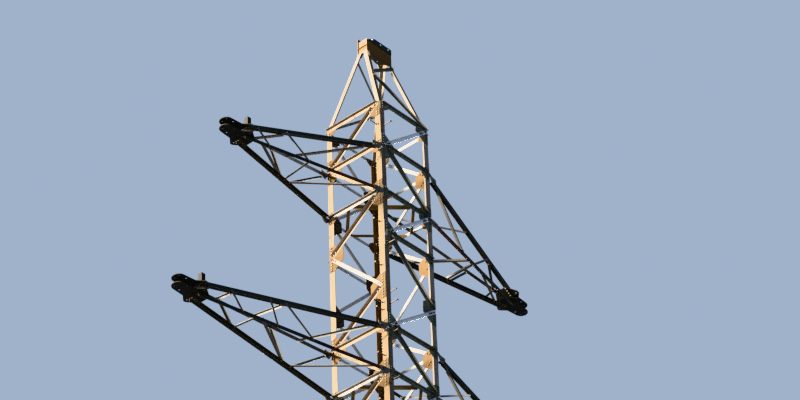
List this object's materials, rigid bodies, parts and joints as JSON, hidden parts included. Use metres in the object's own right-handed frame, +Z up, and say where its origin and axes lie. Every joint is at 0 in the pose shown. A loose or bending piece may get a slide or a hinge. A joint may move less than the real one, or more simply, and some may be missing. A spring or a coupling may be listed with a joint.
{
  "type": "lattice transmission pylon",
  "caption": "Tall square lattice steel tower with three tapered crossarm levels on each side, hanger plates at the tips, a short earthwire peak and splayed feet with base plates.",
  "frame": {"origin": "centre of the base on the ground plane, level with the undersides of the four base plates", "axes": "+Z up, X along the crossarms, Y along the line of the wires"},
  "size_m": [9.7998, 4.503, 37.668],
  "materials": {
    "leg_steel": "weathered hot-dip galvanised rolled angle",
    "lattice_steel": "weathered hot-dip galvanised angle bars and gussets",
    "arm_steel": "weathered hot-dip galvanised angle bars",
    "plate_steel": "dark weathered galvanised plate",
    "base_steel": "thick galvanised plate, dusty",
    "bolt_steel": "galvanised round bar"
  },
  "bodies": {
    "root": {"base_plates": "base_steel", "leg_front_lower": "leg_steel", "leg_right_lower": "leg_steel", "leg_rear_lower": "leg_steel", "leg_left_lower": "leg_steel", "portal_diagonals": "lattice_steel", "portal_struts": "lattice_steel", "lower_lattice_front": "lattice_steel", "lower_lattice_right": "lattice_steel", "lower_lattice_rear": "lattice_steel", "lower_lattice_left": "lattice_steel", "leg_front_upper": "leg_steel", "leg_right_upper": "leg_steel", "leg_rear_upper": "leg_steel", "leg_left_upper": "leg_steel", "leg_splices": "plate_steel", "upper_lattice_front": "lattice_steel", "upper_lattice_right": "lattice_steel", "upper_lattice_rear": "lattice_steel", "upper_lattice_left": "lattice_steel", "plan_bracing": "lattice_steel", "crossarm_roots": "plate_steel", "upper_left_arm_chords": "arm_steel", "upper_left_arm_lacing": "arm_steel", "upper_left_arm_tip": "plate_steel", "upper_right_arm_chords": "arm_steel", "upper_right_arm_lacing": "arm_steel", "upper_right_arm_tip": "plate_steel", "middle_left_arm_chords": "arm_steel", "middle_left_arm_lacing": "arm_steel", "middle_left_arm_tip": "plate_steel", "middle_right_arm_chords": "arm_steel", "middle_right_arm_lacing": "arm_steel", "middle_right_arm_tip": "plate_steel", "lower_left_arm_chords": "arm_steel", "lower_left_arm_lacing": "arm_steel", "lower_left_arm_tip": "plate_steel", "lower_right_arm_chords": "arm_steel", "lower_right_arm_lacing": "arm_steel", "lower_right_arm_tip": "plate_steel", "peak_legs": "lattice_steel", "peak_bracing": "lattice_steel", "earthwire_head": "plate_steel", "step_bolts": "bolt_steel"}
  },
  "joints": []
}
